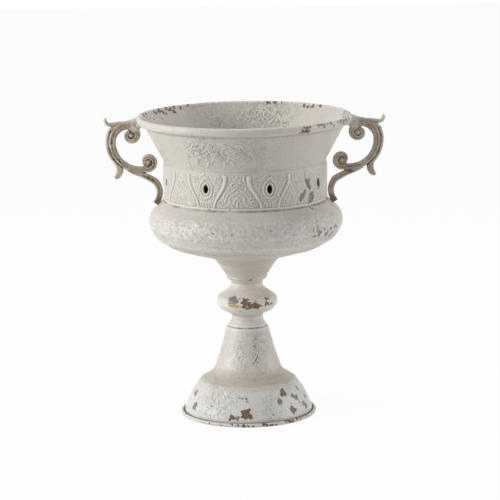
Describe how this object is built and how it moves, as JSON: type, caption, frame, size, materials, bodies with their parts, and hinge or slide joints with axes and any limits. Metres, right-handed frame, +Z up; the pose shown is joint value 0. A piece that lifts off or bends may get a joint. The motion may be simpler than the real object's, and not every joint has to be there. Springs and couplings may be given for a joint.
{
  "type": "footed urn planter",
  "caption": "Footed iron urn planter with a flared collar over a pressed and pierced band, a round belly, a knopped stem, a bell foot and cast scroll handles, in distressed off-white paint.",
  "frame": {"origin": "centre of the base ring on the floor", "axes": "+Z up along the stem, +X towards the right handle, -Y towards the viewer"},
  "size_m": [0.369, 0.2828, 0.4],
  "materials": {
    "chalk_paint": "distressed chalky off-white paint, crackled, with rust and grey chips",
    "handle_patina": "rubbed taupe patina with dark recesses and bronze highlights",
    "zinc_hardware": "dull zinc plate",
    "bare_wire": "drawn steel wire"
  },
  "bodies": {
    "root": {"rim_collar": "chalk_paint", "rim_wire": "bare_wire", "ornament_band": "chalk_paint", "belly_bowl": "chalk_paint", "stem_funnel": "chalk_paint", "knop_upper": "chalk_paint", "knop_lower": "chalk_paint", "foot_bell": "chalk_paint", "base_wire": "bare_wire", "tie_rod": "zinc_hardware", "top_washer": "zinc_hardware", "top_nut": "zinc_hardware", "bottom_washer": "zinc_hardware", "bottom_nut": "zinc_hardware", "handle_right": "handle_patina", "handle_left": "handle_patina", "handle_screws": "zinc_hardware", "handle_washers": "zinc_hardware"}
  },
  "joints": []
}
